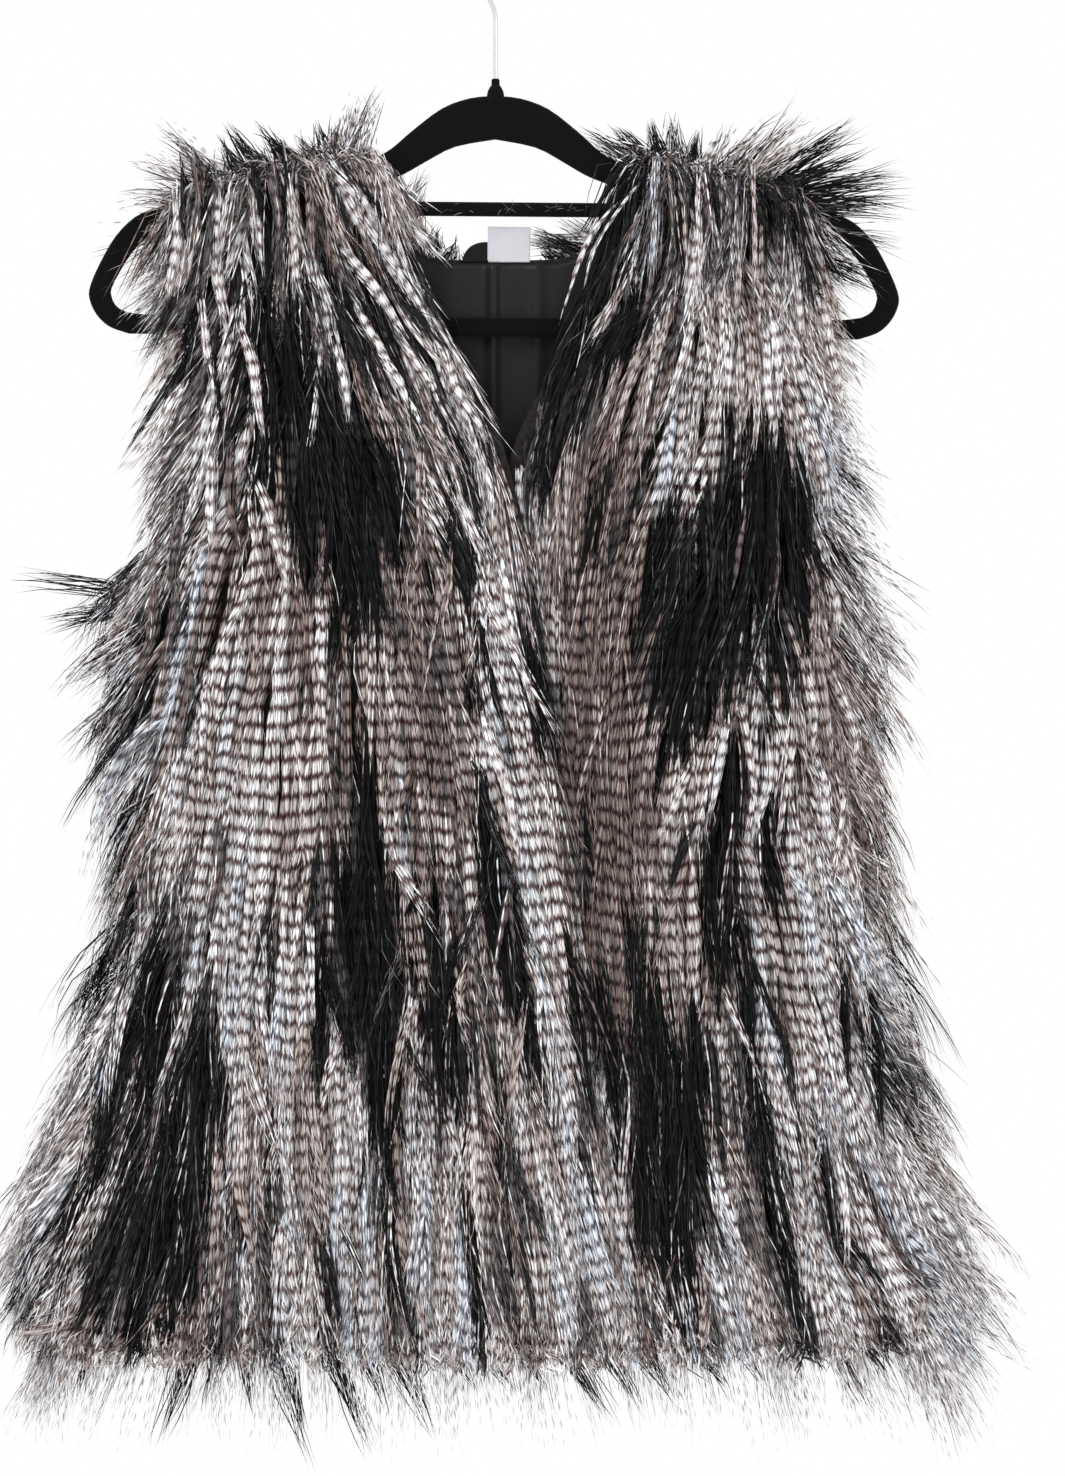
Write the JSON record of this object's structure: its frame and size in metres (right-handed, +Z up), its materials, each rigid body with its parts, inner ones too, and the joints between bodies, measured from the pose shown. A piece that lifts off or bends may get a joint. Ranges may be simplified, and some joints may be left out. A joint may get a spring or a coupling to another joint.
{
  "type": "faux fur vest on a hanger",
  "caption": "Sleeveless long pile faux fur vest with a lapped V-neck front, satin back lining and long hair at its edges, on a flat flocked hanger with a wire hook.",
  "frame": {"origin": "the hook's bearing point: the inner top of the wire hook, where a rail carries it", "axes": "+Z up; the vest's front faces -Y, as the picture sees it; +X to the right in the picture, the wearer's left"},
  "size_m": [0.5655, 0.1087, 0.8521],
  "materials": {
    "fur": "long pile faux fur, barred cream and brown-black with black patches",
    "lining": "black satin",
    "label": "white woven tape, blank",
    "ribbon": "black ribbon",
    "flock": "black flocked",
    "wire": "polished"
  },
  "bodies": {
    "root": {"back_panel": "fur", "front_panel_lap": "fur", "front_panel_under": "fur", "hem_locks_back": "fur", "hem_locks_lap": "fur", "hem_locks_under": "fur", "side_locks_left": "fur", "side_locks_right": "fur", "armhole_locks_front_left": "fur", "armhole_locks_front_right": "fur", "armhole_locks_back_left": "fur", "armhole_locks_back_right": "fur", "shoulder_locks_left": "fur", "shoulder_locks_right": "fur", "back_lining": "lining", "neck_label": "label", "neck_loop": "ribbon", "hanger": "flock", "hanger_hook": "wire"}
  },
  "joints": []
}
